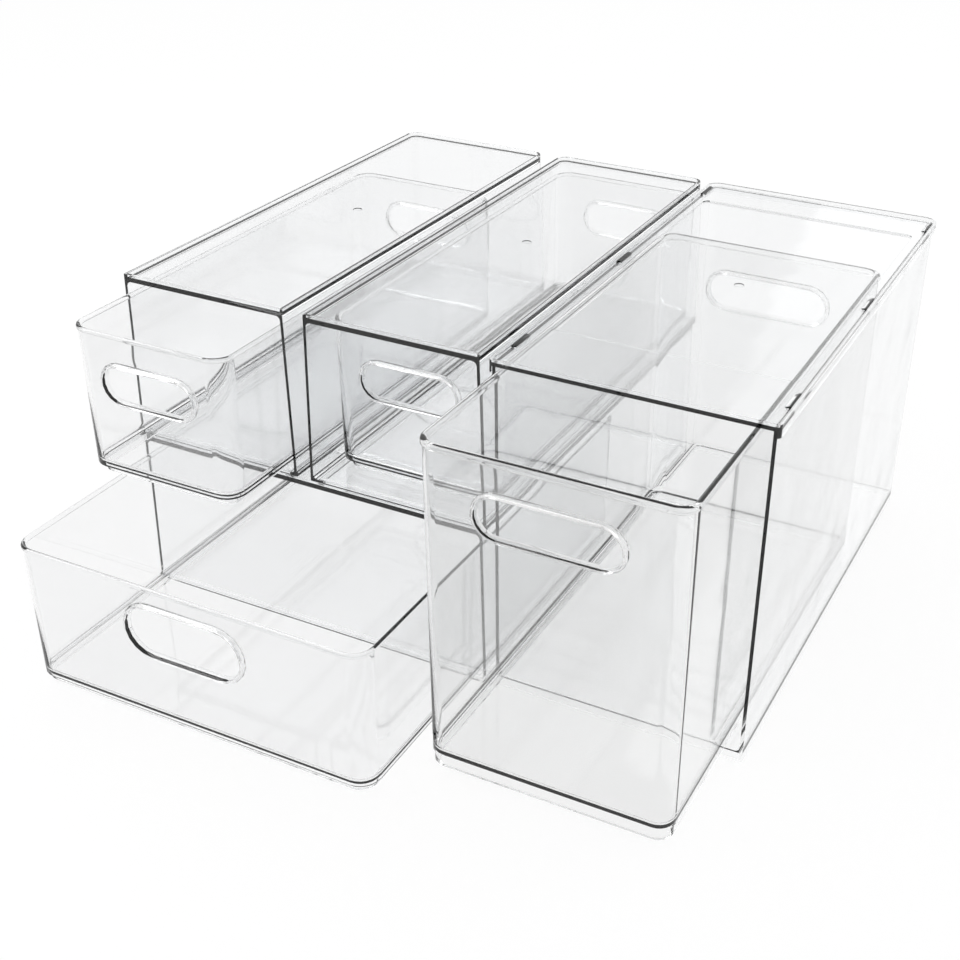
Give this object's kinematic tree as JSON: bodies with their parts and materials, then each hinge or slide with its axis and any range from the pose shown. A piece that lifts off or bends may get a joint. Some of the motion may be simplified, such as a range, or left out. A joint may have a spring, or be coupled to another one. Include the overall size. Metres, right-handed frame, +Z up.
{
  "type": "fridge drawer organizer",
  "caption": "Set of clear stackable storage casings, each open at the front with a sliding drawer that has oval grip openings; the tall casing has a lid held by clips.",
  "frame": {"origin": "on the standing surface, below the middle of the set's bounding box with its drawers as pictured", "axes": "+Z up, -Y towards the user (drawers pull out along -Y), +X to the user's right, where the tall unit stands"},
  "size_m": [0.4422, 0.4984, 0.236],
  "materials": {
    "casing_plastic": "clear, glossy, moulded",
    "lid_plastic": "clear, glossy, moulded",
    "drawer_plastic": "clear, glossy, moulded"
  },
  "bodies": {
    "casings": {"wide_casing": "casing_plastic", "narrow_casing_left": "casing_plastic", "narrow_casing_right": "casing_plastic", "tall_casing": "casing_plastic", "tall_lid": "lid_plastic"},
    "wide_drawer_body": {"wide_drawer": "drawer_plastic"},
    "narrow_drawer_left_body": {"narrow_drawer_left": "drawer_plastic"},
    "narrow_drawer_right_body": {"narrow_drawer_right": "drawer_plastic"},
    "tall_drawer_body": {"tall_drawer": "drawer_plastic"}
  },
  "joints": [
    {"name": "wide_drawer_slide", "type": "slide", "parent": "casings", "child": "wide_drawer_body", "axis": [0, -1, 0], "range_m": [-0.1506, 0.1094]},
    {"name": "narrow_drawer_left_slide", "type": "slide", "parent": "casings", "child": "narrow_drawer_left_body", "axis": [0, -1, 0], "range_m": [-0.0785, 0.1815]},
    {"name": "narrow_drawer_right_slide", "type": "slide", "parent": "casings", "child": "narrow_drawer_right_body", "axis": [0, -1, 0], "range_m": [0, 0.26]},
    {"name": "tall_drawer_slide", "type": "slide", "parent": "casings", "child": "tall_drawer_body", "axis": [0, -1, 0], "range_m": [-0.0976, 0.1624]}
  ]
}
